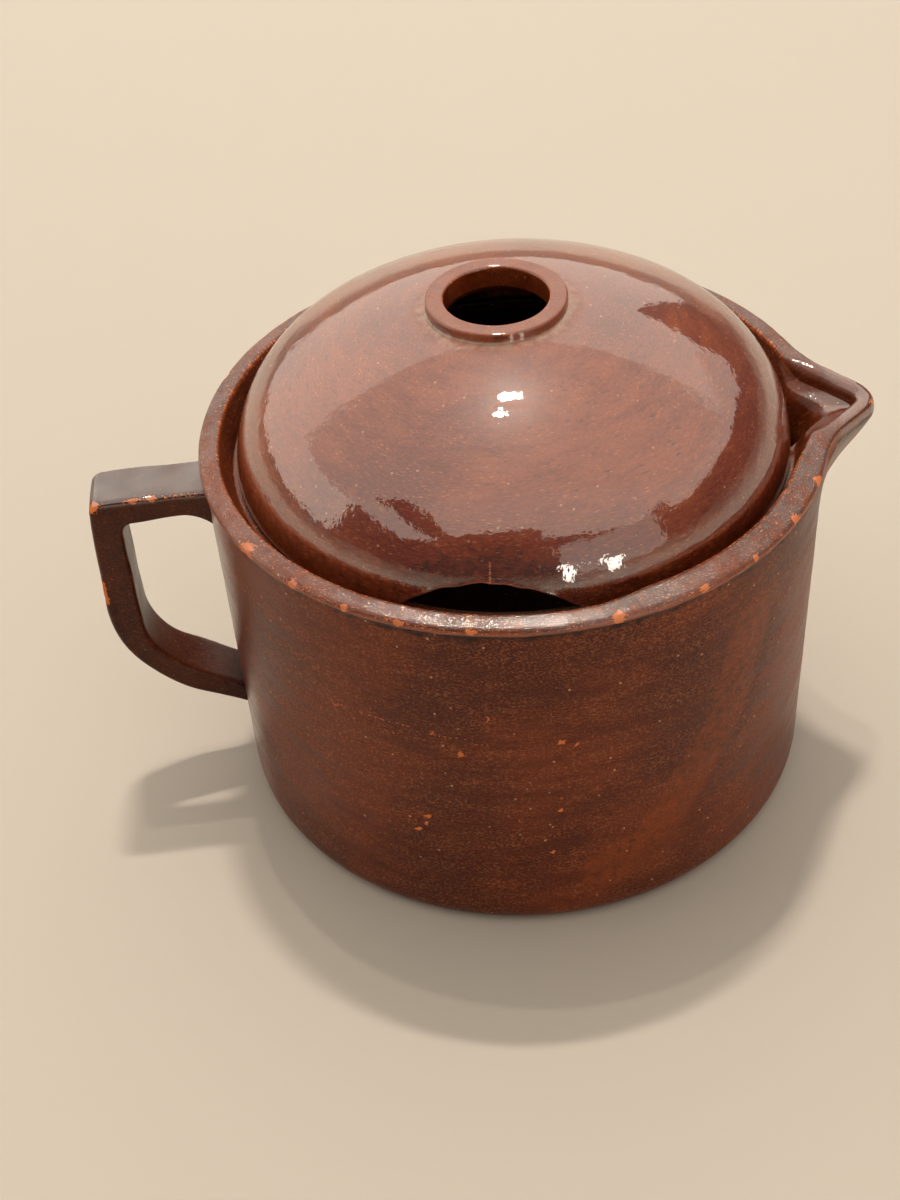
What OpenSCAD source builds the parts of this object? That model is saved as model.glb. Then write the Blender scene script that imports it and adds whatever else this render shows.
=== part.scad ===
// Glazed earthenware milk boiler: a straight-sided pot with a beak spout and a strap handle,
// and a domed lid that drops into the rim. Milk that boils up leaves through the collar in the
// middle of the lid, runs down the dome and drains back through the notch in the lid's edge.
// Millimetres, +Z up. Origin: centre of the underside, on the pot's axis. +X is the way it pours.

/* [Pot] */
// Height from the table to the top of the rim
pot_h = 133; // [115:1:150]
// Outside diameter of the lip at the rim
rim_d = 200; // [190:1:215]
// How much narrower the wall is at the base than under the lip
wall_taper = 0.8; // [0:0.2:6]
// Thickness of the thrown wall
wall_t = 6.5; // [5:0.5:8]
// Thickness of the floor
floor_t = 7; // [5:0.5:10]
// Radius of the rounded edge under the wall
base_round = 6; // [3:0.5:10]
// Radius inside, between floor and wall
floor_fillet = 10; // [4:1:16]
// Height of the lip, the band round the rim
lip_h = 3.2; // [2.4:0.2:6]
// How far the lip stands out from the wall
lip_out = 1; // [0.5:0.1:2]
// Radius of the lip's outer top edge
lip_round = 1.2; // [0.6:0.2:2]
// Thickness of the lip at its top
lip_t = 6.7; // [5.5:0.1:8]

/* [Lid seat] */
// Depth of the ledge below the rim
seat_drop = 9.5; // [7:0.5:12]
// Width of the ledge that carries the lid
seat_w = 8; // [6:0.5:10]
// How much the seat's wall narrows from the rim to the ledge
seat_taper = 3; // [1:0.5:4]
// Thickness of the ledge at its inner edge
ledge_t = 3.5; // [2.5:0.5:5]
// Height of the slope under the ledge
ledge_slope_h = 12; // [8:1:16]

/* [Lid] */
// Height of the dome's top above the rim
dome_rise = 42.7; // [38:0.1:46]
// Radius of the dome's shoulder, which stands upright at the foot
shoulder_r = 37; // [32:1:42]
// Gap at the rim between lid and lip
lid_gap = 5; // [4:0.1:6.5]
// Thickness of the dome
lid_t = 5.5; // [4:0.5:7]
// Clearance between the lid's foot and the ledge
seat_play = 0.2; // [0.1:0.1:0.5]

/* [Boil-over hole] */
// Diameter of the hole in the middle of the lid
hole_d = 33; // [26:0.5:38]
// Outside diameter of the collar round the hole
collar_d = 43.5; // [41:0.5:50]
// Height of the collar above the dome, at its outer edge
collar_h = 3.2; // [2:0.2:6]
// Radius of the collar's upper edges
collar_round = 1.2; // [0.5:0.1:1.4]
// How far the hole sits from the middle of the lid, as set by hand
hole_off = 3; // [0:0.5:5]
// Direction of that offset round the lid, from the spout
hole_off_turn = 160; // [-180:5:180]

/* [Drain notch] */
// Width of the notch at the lid's foot
notch_w = 58; // [30:1:64]
// Height of the notch above the lid's foot
notch_h = 12.7; // [8:0.1:14]
// Direction of the notch round the lid, from the spout
notch_turn = -98.5; // [-180:0.5:180]

/* [Spout] */
// Reach of the spout's tip past the rim
spout_reach = 16.5; // [14:0.5:24]
// Width of the spout where its flanks meet the wall
spout_w = 50; // [44:1:56]
// Depth below the rim where the keel meets the wall
spout_depth = 42; // [36:1:56]
// How far the tip droops below the rim
spout_droop = 4.5; // [2:0.5:5]
// Radius of the nose, seen from above
nose_r = 9; // [7:0.5:10]
// Depth of the upright nose at the tip
nose_h = 7; // [5:0.5:9]
// Thickness of the spout's lip at the tip
spout_wall = 4.2; // [3:0.1:6]
// Width of the opening cut through the rim
opening_w = 43; // [36:1:43]
// Depth of that opening below the rim
opening_depth = 32; // [24:1:34]
// Radius at the bottom of the opening
opening_round = 5; // [3:0.5:7]

/* [Handle] */
// Reach of the grip past the rim
handle_reach = 38.4; // [34:0.2:46]
// Width of the strap
handle_w = 18; // [14:0.5:24]
// Thickness of the grip
grip_t = 11; // [9:0.5:13]
// How much further in the grip's outside is at the top than at the bend
grip_lean = 2; // [0:0.5:4]
// Depth of the strap's flat top below the rim
handle_drop = 10; // [9:0.5:16]
// Thickness of the top arm
top_arm_t = 9.5; // [8:0.5:12]
// Outer bend, from the grip to the lower arm
strap_bend_r = 46.5; // [44:0.5:54]
// Depth below the rim where the outer bend starts
strap_bend_drop = 55; // [52:1:62]
// Slope of the lower arm's underside
arm_slope = 27; // [20:1:34]
// Inner bend of the finger gap
gap_bend_r = 28.6; // [24:0.2:32]
// Depth below the rim where the inner bend starts
gap_bend_drop = 61; // [56:1:66]
// Slope of the lower arm's upper face
gap_slope = 33; // [28:1:36]
// Radius of the strap's square outer corner and of the finger gap's upper corner
corner_r = 4; // [2:0.5:6]
// Radius under the top arm, where it flares into the wall
flare_r = 12; // [6:1:14]
// Turn of the handle from the line opposite the spout, as set by hand
handle_turn = 3.5; // [-10:0.5:10]

/* [Hidden] */
$fn = 96;
hull_fn = 32;
dome_fn = 360;
arc_steps = 20;
over = 2;

rim_r = rim_d / 2;
wall_top_r = rim_r - lip_out;
base_r = wall_top_r - wall_taper;
lip_z = pot_h - lip_h;
cavity_r = base_r - wall_t;

mouth_r = rim_r - lip_t;
seat_z = pot_h - seat_drop;
seat_outer_r = mouth_r - seat_taper;
seat_inner_r = seat_outer_r - seat_w;
ledge_under_z = seat_z - ledge_t - ledge_slope_h;
lip_ease = 1.5;

lid_r = mouth_r - lid_gap;
foot_z = seat_z + seat_play;
dome_top = pot_h + dome_rise;
dome_h = dome_top - foot_z;
shoulder_x = lid_r - shoulder_r;
crown_r = (pow(shoulder_x, 2) + pow(dome_h, 2) - pow(shoulder_r, 2)) / (2 * (dome_h - shoulder_r));
crown_z = dome_top - crown_r;
crown_angle = atan2(foot_z - crown_z, shoulder_x);

hole_r = hole_d / 2;
collar_r = collar_d / 2;
collar_top = crown_z + sqrt(pow(crown_r, 2) - pow(collar_r, 2)) + collar_h;

notch_r = (pow(notch_w / 2, 2) + pow(notch_h, 2)) / (2 * notch_h);

tip_x = rim_r + spout_reach;
droop_x = rim_r - over * 2;
droop_angle = atan2(spout_droop, tip_x - droop_x);
opening_x = sqrt(pow(mouth_r, 2) - pow(opening_w / 2, 2));

grip_r = rim_r + handle_reach;
gap_r = grip_r - grip_t;
arm_root_x = base_r - wall_t;
strap_bend_z = pot_h - strap_bend_drop;
gap_bend_z = pot_h - gap_bend_drop;
handle_z = pot_h - handle_drop;
gap_top = handle_z - top_arm_t;
flare_turn = 60;
flare_x = base_r - over / 2 + flare_r * sin(flare_turn);

pot_glaze = "#5b2417";
lid_glaze = "#6a2d1f";

// Right half of the pot's outside, seen in section
module pot_outside() {
    square([base_r - base_round, base_round]);
    translate([base_r - base_round, base_round]) circle(base_round);
    polygon([[0, base_round], [base_r, base_round], [wall_top_r, lip_z], [0, lip_z]]);
    translate([0, lip_z]) square([rim_r, lip_h - lip_round]);
    translate([0, lip_z]) square([rim_r - lip_round, lip_h]);
    translate([rim_r - lip_round, pot_h - lip_round]) circle(lip_round);
}

// Right half of the pot's hollow: chamber, slope under the ledge, throat and lid seat
module pot_hollow() {
    translate([0, floor_t]) square([cavity_r - floor_fillet, ledge_under_z - floor_t]);
    translate([0, floor_t + floor_fillet]) square([cavity_r, ledge_under_z - floor_t - floor_fillet]);
    translate([cavity_r - floor_fillet, floor_t + floor_fillet]) circle(floor_fillet);
    polygon([
        [0, ledge_under_z], [cavity_r, ledge_under_z],
        [seat_inner_r, seat_z - ledge_t], [seat_inner_r, seat_z], [0, seat_z]
    ]);
    polygon([
        [0, seat_z], [seat_outer_r, seat_z], [mouth_r, pot_h - lip_ease],
        [mouth_r + lip_ease, pot_h], [mouth_r + lip_ease, pot_h + over], [0, pot_h + over]
    ]);
}

// Section of a rounded V, cut through rim and ledge under the spout
module opening_outline() {
    half = opening_w / 2;
    rise = opening_depth - opening_round;
    tangent = atan2(rise, half) - acos(opening_round / norm([half, rise]));
    bottom = pot_h - rise;
    touch_y = opening_round * cos(tangent);
    touch_z = bottom + opening_round * sin(tangent);
    translate([0, bottom]) circle(opening_round);
    polygon([
        [-half, pot_h + over], [-half, pot_h], [-touch_y, touch_z],
        [touch_y, touch_z], [half, pot_h], [half, pot_h + over]
    ]);
}

module opening_slab(from_x, to_x) {
    translate([from_x, 0, 0]) rotate([90, 0, 90]) linear_extrude(to_x - from_x) opening_outline();
}

// Path of the milk: through wall and ledge, then narrowing to the tip
module pour_channel() {
    channel_tip_r = 1.5;
    channel_tip_x = tip_x - spout_wall - channel_tip_r;
    channel_tip_z = pot_h - spout_droop - channel_tip_r;
    opening_slab(seat_inner_r - 4 * over, opening_x);
    hull() {
        opening_slab(opening_x - over, opening_x, $fn = hull_fn);
        translate([channel_tip_x, 0, channel_tip_z])
            cylinder(r = channel_tip_r, h = pot_h + over - channel_tip_z, $fn = hull_fn);
    }
}

// Outside of the spout, run into the wall: upright nose, keel foot and the roots of both flanks
module spout_form() {
    root_r = 3;
    root_h = 6.5;
    hull() {
        translate([tip_x - nose_r, 0, pot_h - nose_h - spout_droop])
            cylinder(r = nose_r, h = nose_h + spout_droop, $fn = hull_fn);
        translate([base_r - root_r, 0, pot_h - spout_depth + root_r]) sphere(root_r, $fn = hull_fn);
        for (side = [-1, 1])
            translate([rim_r - 2 * root_r, side * (spout_w / 2 - root_r), pot_h - root_h])
                cylinder(r = root_r, h = root_h, $fn = hull_fn);
    }
}

// Everything above the drooping edge of the spout's lip
module above_droop() {
    translate([droop_x, 0, pot_h])
        rotate([0, droop_angle, 0])
            translate([0, -spout_w, 0])
                cube([2 * spout_w, 2 * spout_w, spout_w]);
}

// Points along an arc, with angles in degrees from the outward direction
function arc(centre, r, from, to) = [
    for (i = [0:arc_steps])
        let (a = from + (to - from) * i / arc_steps)
            centre + r * [cos(a), sin(a)]
];

// Height at which the straight slope after a bend reaches the root inside the wall
function slope_root_z(bend_z, side_r, bend_r, slope) =
    bend_z - bend_r * cos(slope) - (side_r - bend_r + bend_r * sin(slope) - arm_root_x) * tan(slope);

// Outline of the strap seen from the side: round its outside, then back round the finger gap
module strap_outline() {
    polygon(concat(
        [[arm_root_x, handle_z]],
        arc([grip_r - grip_lean - corner_r, handle_z - corner_r], corner_r, 90, 0),
        arc([grip_r - strap_bend_r, strap_bend_z], strap_bend_r, 0, arm_slope - 90),
        [[arm_root_x, slope_root_z(strap_bend_z, grip_r, strap_bend_r, arm_slope)]],
        [[arm_root_x, slope_root_z(gap_bend_z, gap_r, gap_bend_r, gap_slope)]],
        arc([gap_r - gap_bend_r, gap_bend_z], gap_bend_r, gap_slope - 90, 0),
        arc([gap_r - corner_r, gap_top - corner_r], corner_r, 0, 90),
        arc([flare_x, gap_top - flare_r], flare_r, 90, 90 + flare_turn),
        [[arm_root_x, gap_top - flare_r * (1 - cos(flare_turn))]]
    ));
}

// Right half of the space under the dome, drawn in by a given amount: a wide crown arc that
// runs into the tighter arc of the shoulder
module dome_fill(inset) {
    intersection() {
        translate([0, crown_z]) circle(crown_r - inset, $fn = dome_fn);
        translate([0, foot_z - over]) square([(crown_r - inset) * cos(crown_angle), dome_h + 2 * over]);
    }
    translate([shoulder_x, foot_z]) circle(shoulder_r - inset, $fn = dome_fn);
}

// Right half of the lid in section, pierced in the middle ahead of the hole
module lid_section() {
    difference() {
        intersection() {
            dome_fill(0);
            translate([0, foot_z]) square([lid_r, dome_h]);
        }
        dome_fill(lid_t);
        translate([0, foot_z]) square([hole_r / 2, dome_h]);
    }
}

// Right half of the ring round the hole in section, carried down into the dome
module collar_section() {
    width = collar_r - hole_r;
    height = collar_top - foot_z;
    translate([hole_r, foot_z]) square([width, height - collar_round]);
    translate([hole_r + collar_round, foot_z]) square([width - 2 * collar_round, height]);
    for (x = [hole_r + collar_round, collar_r - collar_round])
        translate([x, collar_top - collar_round]) circle(collar_round);
}

// Moves a shape from the lid's axis to the hole's
module at_hole() {
    rotate([0, 0, hole_off_turn]) translate([hole_off, 0, 0]) children();
}

// Thrown pot: floor, wall, lip and the ledge for the lid
module pot_body() {
    color(pot_glaze)
        difference() {
            rotate_extrude() difference() {
                pot_outside();
                pot_hollow();
            }
            pour_channel();
        }
}

// Beak joined to the rim over the opening
module pouring_spout() {
    color(pot_glaze)
        difference() {
            spout_form();
            rotate_extrude() pot_outside();
            pour_channel();
            above_droop();
        }
}

// Flat strap joined to the wall at both ends
module handle() {
    color(pot_glaze)
        difference() {
            rotate([0, 0, 180 + handle_turn])
                translate([0, handle_w / 2, 0])
                    rotate([90, 0, 0])
                        linear_extrude(handle_w) strap_outline();
            rotate_extrude() pot_outside();
        }
}

// Lid with its centre hole and the drain notch at the edge
module lid_dome() {
    color(lid_glaze)
        difference() {
            rotate_extrude() lid_section();
            at_hole() translate([0, 0, foot_z]) cylinder(r = hole_r, h = dome_h);
            rotate([0, 0, notch_turn])
                translate([lid_r / 2, 0, foot_z + notch_h - notch_r])
                    rotate([0, 90, 0])
                        cylinder(r = notch_r, h = lid_r);
        }
}

// Ring round the hole, its foot fitted to the dome
module lid_collar() {
    color(lid_glaze)
        difference() {
            at_hole() rotate_extrude() collar_section();
            rotate_extrude() dome_fill(0);
        }
}

pot_body();
pouring_spout();
handle();
lid_dome();
lid_collar();
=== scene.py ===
import math

import bmesh
import bpy
import numpy as np
from mathutils import Matrix, Vector, noise


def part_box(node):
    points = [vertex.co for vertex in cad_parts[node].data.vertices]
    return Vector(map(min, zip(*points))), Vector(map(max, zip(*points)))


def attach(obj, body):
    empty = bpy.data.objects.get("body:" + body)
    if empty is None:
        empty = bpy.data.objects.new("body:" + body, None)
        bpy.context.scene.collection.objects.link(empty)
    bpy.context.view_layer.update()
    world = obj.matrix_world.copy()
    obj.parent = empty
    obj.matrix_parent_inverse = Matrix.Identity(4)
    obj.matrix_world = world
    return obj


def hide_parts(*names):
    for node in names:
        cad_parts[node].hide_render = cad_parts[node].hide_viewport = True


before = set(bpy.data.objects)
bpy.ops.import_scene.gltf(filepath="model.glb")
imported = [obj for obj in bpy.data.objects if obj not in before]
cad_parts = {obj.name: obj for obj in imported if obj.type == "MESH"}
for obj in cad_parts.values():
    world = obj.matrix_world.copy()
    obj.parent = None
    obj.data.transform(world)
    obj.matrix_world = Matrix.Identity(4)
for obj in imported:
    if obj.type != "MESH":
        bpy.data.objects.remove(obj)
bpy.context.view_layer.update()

# The thrown pot
# Red earthenware thrown on the wheel: floor, straight wall, a low lip, and a stepped ledge inside
# the rim that carries the lid. Its outline is spun round the axis, with the thrower's slight wobble.
MM = 0.001
pot_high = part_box("pot_body")[1]
rim_r = pot_high.y
rim_z = pot_high.z
lip_out = 1.0 * MM
lip_h = 3.2 * MM
lip_round = 1.4 * MM
lip_ease = 1.6 * MM
lip_rise = 1.6 * MM
wall_t = 6.5 * MM
wall_taper = 0.8 * MM
wall_r = rim_r - lip_out
base_r = wall_r - wall_taper
base_round = 6 * MM
cavity_r = base_r - wall_t
floor_t = 7 * MM
floor_fillet = 10 * MM
crown_w = 6.7 * MM
mouth_r = rim_r - crown_w
seat_depth = 9.5 * MM
seat_draft = 3 * MM
seat_w = 8 * MM
seat_round = 0.8 * MM
seat_z = rim_z - seat_depth
seat_outer_r = mouth_r - seat_draft
seat_inner_r = seat_outer_r - seat_w
ledge_t = 3.5 * MM
ledge_blend = 12 * MM
ledge_under_z = seat_z - ledge_t - ledge_blend


def straight(start, end, step):
    """Points from start up to, but not including, end, at most a step apart."""
    count = max(1, math.ceil(math.dist(start, end) / step))
    return [tuple(Vector(start).lerp(Vector(end), i / count)) for i in range(count)]


def bend(centre, radius, turn_from, turn_to, count):
    """Points along an arc, both ends included, with its angles in degrees."""
    turns = np.radians(np.linspace(turn_from, turn_to, count))
    return [(centre[0] + radius * math.cos(a), centre[1] + radius * math.sin(a)) for a in turns]


def ease(share):
    """Smooth step from 0 to 1."""
    share = np.clip(share, 0, 1)
    return share * share * (3 - 2 * share)


def add(tree, kind, links=None, **settings):
    """Adds a node with its settings, and fills its inputs from sockets or plain values."""
    node = tree.nodes.new(kind)
    for key, value in settings.items():
        setattr(node, key, value)
    for key, value in (links or {}).items():
        if isinstance(value, bpy.types.NodeSocket):
            tree.links.new(value, node.inputs[key])
        else:
            node.inputs[key].default_value = value
    return node


lip_start = rim_z - lip_h - lip_rise / 2
lip_step = [
    (wall_r + lip_out * float(ease(t)), lip_start + lip_rise * t) for t in np.linspace(0, 1, 7)
]
outside = (
    straight((0, 0), (base_r - base_round, 0), 10 * MM)
    + bend((base_r - base_round, base_round), base_round, -90, 0, 8)
    + straight((base_r, base_round), lip_step[0], 1.8 * MM)[1:]
    + lip_step
)
crown = (
    bend((rim_r - lip_round, rim_z - lip_round), lip_round, 0, 90, 7)
    + straight((rim_r - lip_round, rim_z), (mouth_r + lip_ease, rim_z), 0.7 * MM)[1:]
    + bend((mouth_r + lip_ease, rim_z - lip_ease), lip_ease, 90, 180, 7)
)
inside = (
    straight((mouth_r, rim_z - lip_ease), (seat_outer_r, seat_z + seat_round), 1.2 * MM)[1:]
    + bend((seat_outer_r - seat_round, seat_z + seat_round), seat_round, 0, -90, 4)
    + straight((seat_outer_r - seat_round, seat_z), (seat_inner_r + seat_round, seat_z), 1.8 * MM)[1:]
    + bend((seat_inner_r + seat_round, seat_z - seat_round), seat_round, 90, 180, 4)
    + straight((seat_inner_r, seat_z - ledge_t), (cavity_r, ledge_under_z), 2 * MM)
    + straight((cavity_r, ledge_under_z), (cavity_r, floor_t + floor_fillet), 7 * MM)
    + bend((cavity_r - floor_fillet, floor_t + floor_fillet), floor_fillet, 0, -90, 8)
    + straight((cavity_r - floor_fillet, floor_t), (0, floor_t), 12 * MM)[1:]
    + [(0, floor_t)]
)

spin = bpy.data.node_groups.new("spun_on_the_wheel", "GeometryNodeTree")
for socket_name, socket_kind in (
    ("Outline", "NodeSocketGeometry"),
    ("Columns", "NodeSocketInt"),
    ("Full Radius", "NodeSocketFloat"),
    ("Wobble", "NodeSocketFloat"),
    ("Wobble Width", "NodeSocketFloat"),
    ("Ridge", "NodeSocketFloat"),
    ("Ridge Width", "NodeSocketFloat"),
    ("Seed", "NodeSocketInt"),
    ("Glaze", "NodeSocketMaterial"),
):
    spin.interface.new_socket(name=socket_name, in_out="INPUT", socket_type=socket_kind)
spin.interface.new_socket(name="Form", in_out="OUTPUT", socket_type="NodeSocketGeometry")
given = add(spin, "NodeGroupInput").outputs
rings = add(
    spin, "GeometryNodeAttributeDomainSize", {0: given["Outline"]}, component="MESH"
).outputs["Point Count"]
columns = add(spin, "ShaderNodeMath", {0: given["Columns"], 1: 1.0}, operation="ADD").outputs[0]
sheet = add(spin, "GeometryNodeMeshGrid", {"Vertices X": columns, "Vertices Y": rings}).outputs["Mesh"]
place = add(spin, "GeometryNodeInputIndex").outputs[0]
ring = add(spin, "ShaderNodeMath", {0: place, 1: rings}, operation="MODULO").outputs[0]
column = add(spin, "ShaderNodeMath", {0: place, 1: rings}, operation="DIVIDE").outputs[0]
column = add(spin, "ShaderNodeMath", {0: column}, operation="FLOOR").outputs[0]
share = add(spin, "ShaderNodeMath", {0: column, 1: given["Columns"]}, operation="DIVIDE").outputs[0]
turn = add(spin, "ShaderNodeMath", {0: share, 1: math.tau}, operation="MULTIPLY").outputs[0]
turn = add(spin, "ShaderNodeMath", {0: turn, 1: math.pi}, operation="ADD").outputs[0]
cosine = add(spin, "ShaderNodeMath", {0: turn}, operation="COSINE").outputs[0]
sine = add(spin, "ShaderNodeMath", {0: turn}, operation="SINE").outputs[0]
point = add(
    spin,
    "GeometryNodeSampleIndex",
    {
        "Geometry": given["Outline"],
        "Value": add(spin, "GeometryNodeInputPosition").outputs[0],
        "Index": ring,
    },
    data_type="FLOAT_VECTOR",
).outputs[0]
point = add(spin, "ShaderNodeSeparateXYZ", {0: point}).outputs
round_x = add(spin, "ShaderNodeMath", {0: point["X"], 1: cosine}, operation="MULTIPLY").outputs[0]
round_y = add(spin, "ShaderNodeMath", {0: point["X"], 1: sine}, operation="MULTIPLY").outputs[0]
# The wobble is the same all ways; the ridges are finger rings, drawn out tenfold round the pot.
swings = []
for amount, width, along in (("Wobble", "Wobble Width", 1.0), ("Ridge", "Ridge Width", 0.1)):
    spot = add(spin, "ShaderNodeCombineXYZ", {"X": round_x, "Y": round_y, "Z": point["Z"]}).outputs[0]
    spot = add(
        spin, "ShaderNodeVectorMath", {0: spot, 1: (along, along, 1.0)}, operation="MULTIPLY"
    ).outputs[0]
    fineness = add(spin, "ShaderNodeMath", {0: 1.0, 1: given[width]}, operation="DIVIDE").outputs[0]
    wave = add(
        spin,
        "ShaderNodeTexNoise",
        {"Vector": spot, "W": given["Seed"], "Scale": fineness, "Detail": 1.0},
        noise_dimensions="4D",
    ).outputs[0]
    wave = add(spin, "ShaderNodeMath", {0: wave, 1: 0.5}, operation="SUBTRACT").outputs[0]
    wave = add(spin, "ShaderNodeMath", {0: wave, 1: given[amount]}, operation="MULTIPLY").outputs[0]
    swings.append(wave)
swing = add(spin, "ShaderNodeMath", {0: swings[0], 1: swings[1]}, operation="ADD").outputs[0]
reach = add(
    spin, "ShaderNodeMath", {0: point["X"], 1: given["Full Radius"]}, operation="DIVIDE"
).outputs[0]
radius = add(
    spin, "ShaderNodeMath", {0: swing, 1: reach, 2: point["X"]}, operation="MULTIPLY_ADD"
).outputs[0]
spun = add(
    spin,
    "ShaderNodeCombineXYZ",
    {
        "X": add(spin, "ShaderNodeMath", {0: radius, 1: cosine}, operation="MULTIPLY").outputs[0],
        "Y": add(spin, "ShaderNodeMath", {0: radius, 1: sine}, operation="MULTIPLY").outputs[0],
        "Z": point["Z"],
    },
).outputs[0]
form = add(spin, "GeometryNodeSetPosition", {"Geometry": sheet, "Position": spun}).outputs[0]
form = add(
    spin,
    "GeometryNodeStoreNamedAttribute",
    {"Geometry": form, "Name": "ring", "Value": ring},
    data_type="FLOAT",
    domain="POINT",
).outputs[0]
form = add(spin, "GeometryNodeMergeByDistance", {"Geometry": form, "Distance": 0.001 * MM}).outputs[0]
form = add(spin, "GeometryNodeRealizeInstances", {"Geometry": form}).outputs[0]
form = add(spin, "GeometryNodeSetMaterial", {"Geometry": form, "Material": given["Glaze"]}).outputs[0]
add(spin, "NodeGroupOutput", {"Form": form})


def throw(name, outline, glaze, **sizes):
    """Spins an outline into a plain mesh object that still knows each point's ring."""
    mesh = bpy.data.meshes.new(name)
    links = [(i, i + 1) for i in range(len(outline) - 1)]
    mesh.from_pydata([(r, 0, z) for r, z in outline], links, [])
    piece = bpy.data.objects.new(name, mesh)
    bpy.context.scene.collection.objects.link(piece)
    modifier = piece.modifiers.new("spin", "NODES")
    modifier.node_group = spin
    values = {"Glaze": glaze, **{key.replace("_", " ").title(): value for key, value in sizes.items()}}
    for item in spin.interface.items_tree:
        if item.name in values:
            modifier[item.identifier] = values[item.name]
    graph = bpy.context.evaluated_depsgraph_get()
    piece.data = bpy.data.meshes.new_from_object(
        piece.evaluated_get(graph), preserve_all_data_layers=True, depsgraph=graph
    )
    piece.modifiers.clear()
    bpy.data.meshes.remove(mesh)
    piece.data.name = name
    return piece


def points_of(mesh):
    """The mesh's points as rows of x, y and z."""
    places = np.empty(len(mesh.vertices) * 3)
    mesh.vertices.foreach_get("co", places)
    return places.reshape(-1, 3)


def rings_of(mesh):
    """The place in the outline that each point was spun from."""
    values = np.empty(len(mesh.vertices))
    mesh.attributes["ring"].data.foreach_get("value", values)
    return np.rint(values).astype(int)


def seal(mesh, places, **marks):
    """Writes points and marks back, merges what fell together and turns all faces outwards."""
    mesh.vertices.foreach_set("co", places.astype(np.float32).ravel())
    if "ring" in mesh.attributes:
        mesh.attributes.remove(mesh.attributes["ring"])
    for name, values in marks.items():
        mesh.attributes.new(name, "FLOAT", "POINT").data.foreach_set("value", values.astype(np.float32))
    skin = bmesh.new()
    skin.from_mesh(mesh)
    bmesh.ops.remove_doubles(skin, verts=skin.verts, dist=0.002 * MM)
    bmesh.ops.dissolve_degenerate(skin, edges=skin.edges, dist=0.002 * MM)
    bmesh.ops.recalc_face_normals(skin, faces=skin.faces)
    for face in skin.faces:
        face.smooth = True
    skin.to_mesh(mesh)
    skin.free()


def ragged(places, width, seed):
    """Smooth noise from 0 to 1 at each point, its bumps a given width apart."""
    return np.array([noise.noise(Vector(p) / width + Vector((seed, 0, 0))) for p in places]) / 2 + 0.5


def linear(hex_colour):
    """An sRGB hex colour as linear RGBA."""
    parts = [int(hex_colour[i : i + 2], 16) / 255 for i in (1, 3, 5)]
    return [c / 12.92 if c <= 0.04045 else ((c + 0.055) / 1.055) ** 2.4 for c in parts] + [1.0]


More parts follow.
